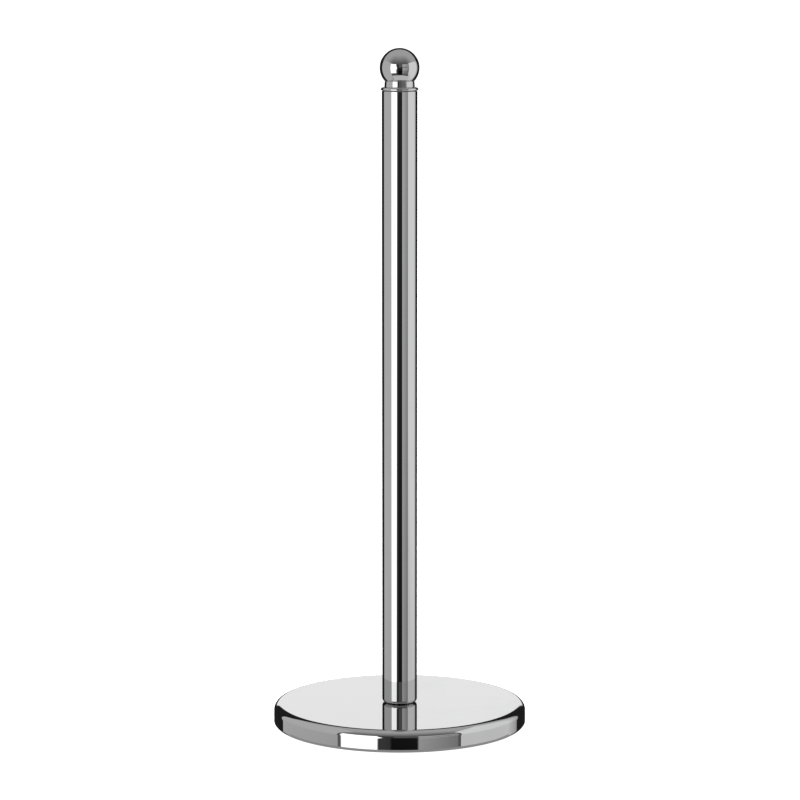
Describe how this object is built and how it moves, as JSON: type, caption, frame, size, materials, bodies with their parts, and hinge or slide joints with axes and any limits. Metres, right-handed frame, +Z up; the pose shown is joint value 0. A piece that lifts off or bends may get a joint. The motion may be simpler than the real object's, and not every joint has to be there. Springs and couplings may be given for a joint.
{
  "type": "kitchen roll holder",
  "caption": "Free-standing kitchen roll holder: a weighted round base, a straight upright tube and a ball finial that unscrews.",
  "frame": {"origin": "centre of the pad's underside, where the holder stands", "axes": "+Z up along the pole, towards the ball finial. The holder is round, so X and Y are alike"},
  "size_m": [0.13, 0.13, 0.3481],
  "materials": {
    "polished_steel": "mirror polished",
    "cast_iron": "as cast, dark",
    "sheet_steel": "rolled",
    "plug_steel": "turned",
    "zinc_steel": "bright zinc plated",
    "pad_rubber": "matte, fine grain",
    "washer_plastic": "matte"
  },
  "bodies": {
    "holder": {"base_cover": "polished_steel", "base_weight": "cast_iron", "bottom_plate": "sheet_steel", "base_pad": "pad_rubber", "pole_tube": "polished_steel", "foot_plug": "plug_steel", "top_plug": "plug_steel", "pole_screw": "zinc_steel", "lock_washer": "zinc_steel", "flat_washer": "zinc_steel"},
    "collar": {"finial_collar": "polished_steel", "seat_washer": "washer_plastic"},
    "finial": {"finial_ball": "polished_steel", "finial_stud": "zinc_steel"}
  },
  "joints": [
    {"name": "finial_rise", "type": "slide", "parent": "holder", "child": "collar", "axis": [0, 0, 1], "range_m": [0, 0.011]},
    {"name": "finial_unscrew", "type": "hinge", "parent": "collar", "child": "finial", "pos_m": [0, 0, 0.3314], "axis": [0, 0, 1], "range_deg": [0, 3960]}
  ],
  "couplings": [
    {"joint": "finial_unscrew", "follows": "finial_rise", "rad_per_m": 6283.2}
  ]
}
